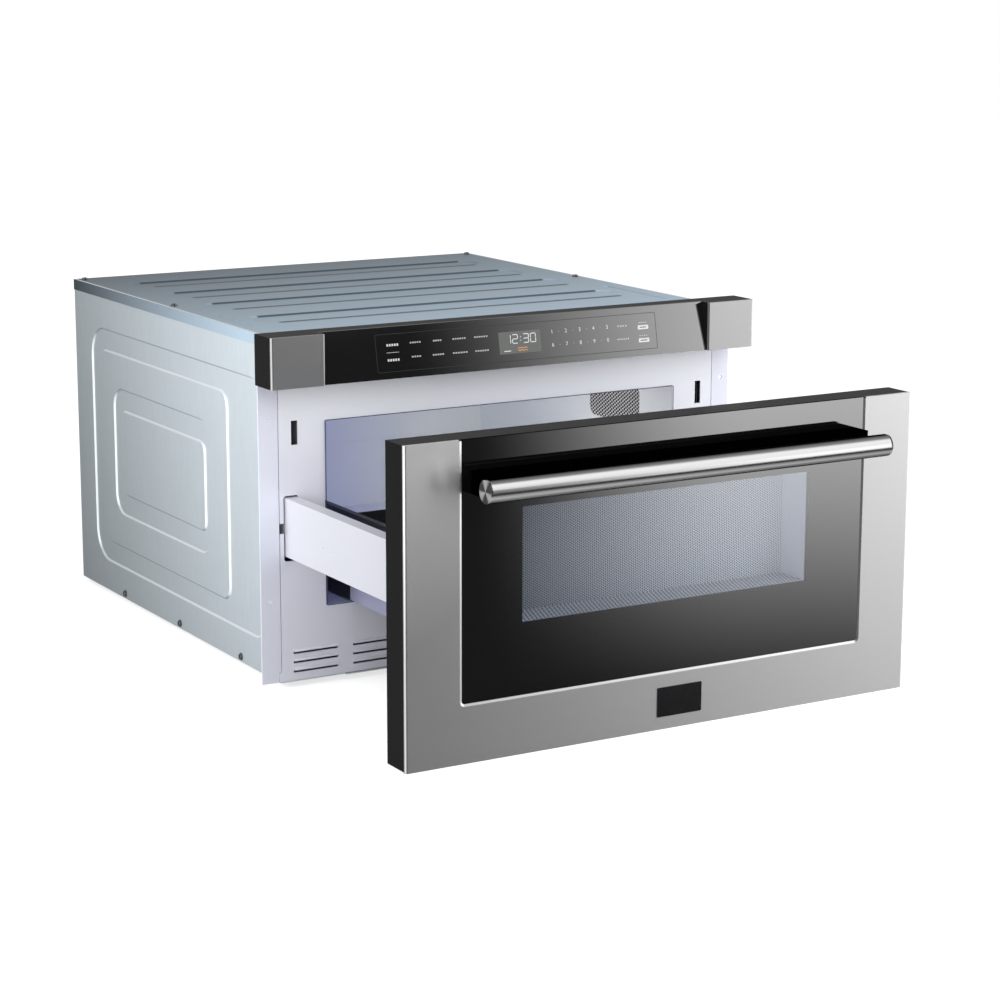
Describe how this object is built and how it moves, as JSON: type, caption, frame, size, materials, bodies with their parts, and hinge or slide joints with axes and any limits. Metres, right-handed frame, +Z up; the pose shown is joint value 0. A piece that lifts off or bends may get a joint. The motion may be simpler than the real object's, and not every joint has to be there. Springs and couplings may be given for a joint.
{
  "type": "built-in microwave drawer",
  "caption": "Built-in microwave oven with a motor-driven pull-out drawer, sloping glass control strip, steel-framed glass front and a full-width bar handle.",
  "frame": {"origin": "on the underside of the base pan, centred left to right, in the plane of the face plate", "axes": "+X to the viewer's right, -Y out of the front in the drawer's opening direction, +Z up; rest pose is the drawer part open"},
  "size_m": [0.606, 0.9503, 0.386],
  "materials": {
    "galvanised": "galvanised sheet, satin",
    "white_enamel": "powder coat, satin",
    "cavity_enamel": "gloss enamel",
    "stainless": "brushed along X",
    "handle_steel": "fine turned",
    "black_body": "satin black",
    "black_paint": "satin black",
    "front_glass": "gloss, black print on the back",
    "clear_glass": "clear",
    "dish_glass": "black glass ceramic",
    "tray_black": "heat-proof moulded, satin",
    "screen_steel": "perforated sheet",
    "screw_steel": "zinc plated",
    "nylon": "moulded nylon",
    "aluminium": "plain",
    "core_steel": "lacquered laminations",
    "board_green": "circuit board",
    "grey_plastic": "moulded",
    "rubber": "soft"
  },
  "bodies": {
    "casing": {"base_pan": "galvanised", "casing_screws": "screw_steel", "cavity_lamp": "aluminium", "cavity_shell": "cavity_enamel", "cavity_vent_screen": "cavity_enamel", "control_board": "board_green", "control_glass": "front_glass", "control_housing": "black_body", "cord_gland": "rubber", "drive_motor_left": "grey_plastic", "drive_motor_right": "grey_plastic", "end_cap_left": "stainless", "end_cap_right": "stainless", "face_plate": "white_enamel", "fan_frame": "grey_plastic", "fan_motor": "core_steel", "filter_board": "board_green", "guide_channel_left": "aluminium", "guide_channel_right": "aluminium", "hv_capacitor": "aluminium", "hv_transformer": "core_steel", "latch_switch_left": "grey_plastic", "latch_switch_right": "grey_plastic", "magnetron": "aluminium", "mounting_flange_left": "white_enamel", "mounting_flange_right": "white_enamel", "rear_panel": "galvanised", "roller_pins": "screw_steel", "side_panel_left": "galvanised", "side_panel_right": "galvanised", "stirrer_motor": "grey_plastic", "top_cover": "galvanised", "waveguide": "galvanised", "waveguide_cover": "grey_plastic"},
    "drawer": {"choke_panel": "cavity_enamel", "drive_rack_left": "nylon", "drive_rack_right": "nylon", "front_frame": "stainless", "front_glass": "front_glass", "front_panel": "black_body", "glass_tray": "dish_glass", "handle_bar": "handle_steel", "handle_caps": "handle_steel", "handle_support": "black_paint", "inner_pane": "clear_glass", "latch_hooks": "screw_steel", "rail_screws": "screw_steel", "side_rail_left": "white_enamel", "side_rail_right": "white_enamel", "tray_brackets": "white_enamel", "tray_pan": "tray_black", "window_screen": "screen_steel"},
    "pinion_left": {"drive_pinion_left": "nylon"},
    "pinion_right": {"drive_pinion_right": "nylon"},
    "front_roller_left": {"front_roller_left": "nylon"},
    "front_roller_right": {"front_roller_right": "nylon"},
    "rear_roller_left": {"rear_roller_left": "nylon"},
    "rear_roller_right": {"rear_roller_right": "nylon"},
    "fan": {"fan_rotor": "grey_plastic"},
    "stirrer": {"stirrer_fan": "aluminium"}
  },
  "joints": [
    {"name": "drawer_slide", "type": "slide", "parent": "casing", "child": "drawer", "axis": [0, -1, 0], "range_m": [-0.285, 0.095]},
    {"name": "pinion_left_spin", "type": "hinge", "parent": "casing", "child": "pinion_left", "pos_m": [-0.242, 0.15, 0.1707], "axis": [0, 0, 1], "range_deg": [-1215, 408]},
    {"name": "pinion_right_spin", "type": "hinge", "parent": "casing", "child": "pinion_right", "pos_m": [0.242, 0.15, 0.1707], "axis": [0, 0, 1], "range_deg": [-408, 1215]},
    {"name": "front_roller_left_spin", "type": "hinge", "parent": "casing", "child": "front_roller_left", "pos_m": [-0.2614, 0.03, 0.1888], "axis": [1, 0, 0], "range_deg": [-1392, 468]},
    {"name": "front_roller_right_spin", "type": "hinge", "parent": "casing", "child": "front_roller_right", "pos_m": [0.2614, 0.03, 0.1888], "axis": [1, 0, 0], "range_deg": [-1392, 468]},
    {"name": "rear_roller_left_spin", "type": "hinge", "parent": "casing", "child": "rear_roller_left", "pos_m": [-0.2614, 0.11, 0.1526], "axis": [1, 0, 0], "range_deg": [-468, 1392]},
    {"name": "rear_roller_right_spin", "type": "hinge", "parent": "casing", "child": "rear_roller_right", "pos_m": [0.2614, 0.11, 0.1526], "axis": [1, 0, 0], "range_deg": [-468, 1392]},
    {"name": "fan_spin", "type": "hinge", "parent": "casing", "child": "fan", "pos_m": [0.15, 0.552, 0.196], "axis": [0, 1, 0], "continuous": true},
    {"name": "stirrer_spin", "type": "hinge", "parent": "casing", "child": "stirrer", "pos_m": [0.005, 0.33, 0.297], "axis": [0, 0, 1], "continuous": true}
  ],
  "couplings": [
    {"joint": "pinion_left_spin", "follows": "drawer_slide", "rad_per_m": 74.074},
    {"joint": "pinion_right_spin", "follows": "drawer_slide", "rad_per_m": -74.074},
    {"joint": "front_roller_left_spin", "follows": "drawer_slide", "rad_per_m": 84.746},
    {"joint": "front_roller_right_spin", "follows": "drawer_slide", "rad_per_m": 84.746},
    {"joint": "rear_roller_left_spin", "follows": "drawer_slide", "rad_per_m": -84.746},
    {"joint": "rear_roller_right_spin", "follows": "drawer_slide", "rad_per_m": -84.746}
  ]
}
